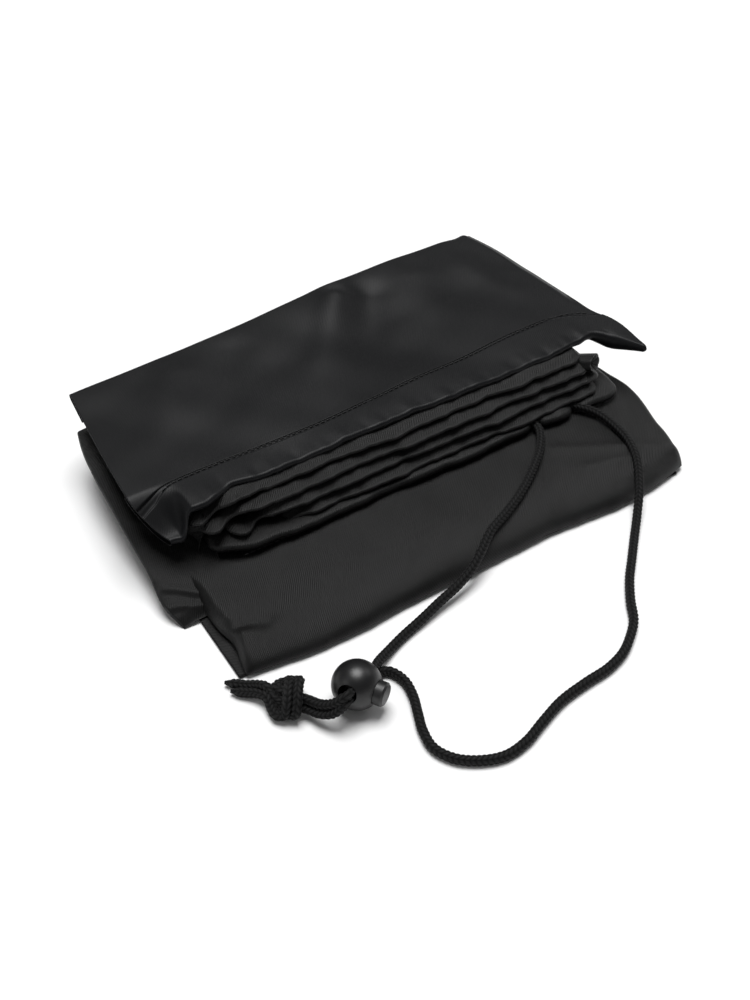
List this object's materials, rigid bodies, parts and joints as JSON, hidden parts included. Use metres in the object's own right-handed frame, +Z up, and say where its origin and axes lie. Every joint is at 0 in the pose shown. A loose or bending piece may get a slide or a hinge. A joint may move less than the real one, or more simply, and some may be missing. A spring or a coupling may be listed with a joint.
{
  "type": "drawstring bag",
  "caption": "Drawstring bag of thin black coated cloth, folded flat, with a braided cord, a ball cord lock with a push plunger, and a knot.",
  "frame": {"origin": "bottom centre of the folded cloth, on the surface it lies on; the cord and what is on it are left out", "axes": "+X runs along the folds to the right, +Y points to the back edge, +Z up; the cord comes out on the -Y side"},
  "size_m": [0.254, 0.2611, 0.0389],
  "materials": {
    "coated_cloth": "satin coated twill",
    "thread": "matt thread",
    "braided_cord": "braided",
    "lock_plastic": "satin moulded",
    "plunger_plastic": "satin moulded",
    "spring_steel": "drawn wire"
  },
  "bodies": {
    "packet": {"bottom_layer": "coated_cloth", "left_under_layer": "coated_cloth", "panel_return": "coated_cloth", "front_panel": "coated_cloth", "lower_hem": "coated_cloth", "accordion_fold_1": "coated_cloth", "accordion_fold_2": "coated_cloth", "accordion_fold_3": "coated_cloth", "accordion_fold_4": "coated_cloth", "left_fold_ends": "coated_cloth", "right_fold_end": "coated_cloth", "second_panel": "coated_cloth", "back_wrap": "coated_cloth", "top_panel": "coated_cloth", "top_hem": "coated_cloth", "top_hem_ear": "coated_cloth", "lower_hem_stitching": "thread", "top_hem_stitching": "thread", "cord_in_channel_left": "braided_cord", "cord_in_channel_right": "braided_cord", "short_strand": "braided_cord", "long_strand": "braided_cord", "upper_twin": "braided_cord", "lower_twin": "braided_cord", "knot": "braided_cord", "long_tail": "braided_cord", "short_tail": "braided_cord"},
    "lock": {"lock_body": "lock_plastic", "lock_spring": "spring_steel", "strands_in_lock": "braided_cord"},
    "plunger": {"lock_plunger": "plunger_plastic"}
  },
  "joints": [
    {"name": "lock_slide", "type": "slide", "parent": "packet", "child": "lock", "axis": [-0.7662, -0.4976, 0.4067], "range_m": [0, 0.006], "deforming": ["short_strand", "long_strand", "upper_twin", "lower_twin"]},
    {"name": "plunger_press", "type": "slide", "parent": "lock", "child": "plunger", "axis": [-0.5446, 0.8387, 0], "range_m": [0, 0.003], "stiffness_N_per_m": 900, "springref_m": -0.001, "deforming": ["lock_spring"]}
  ]
}
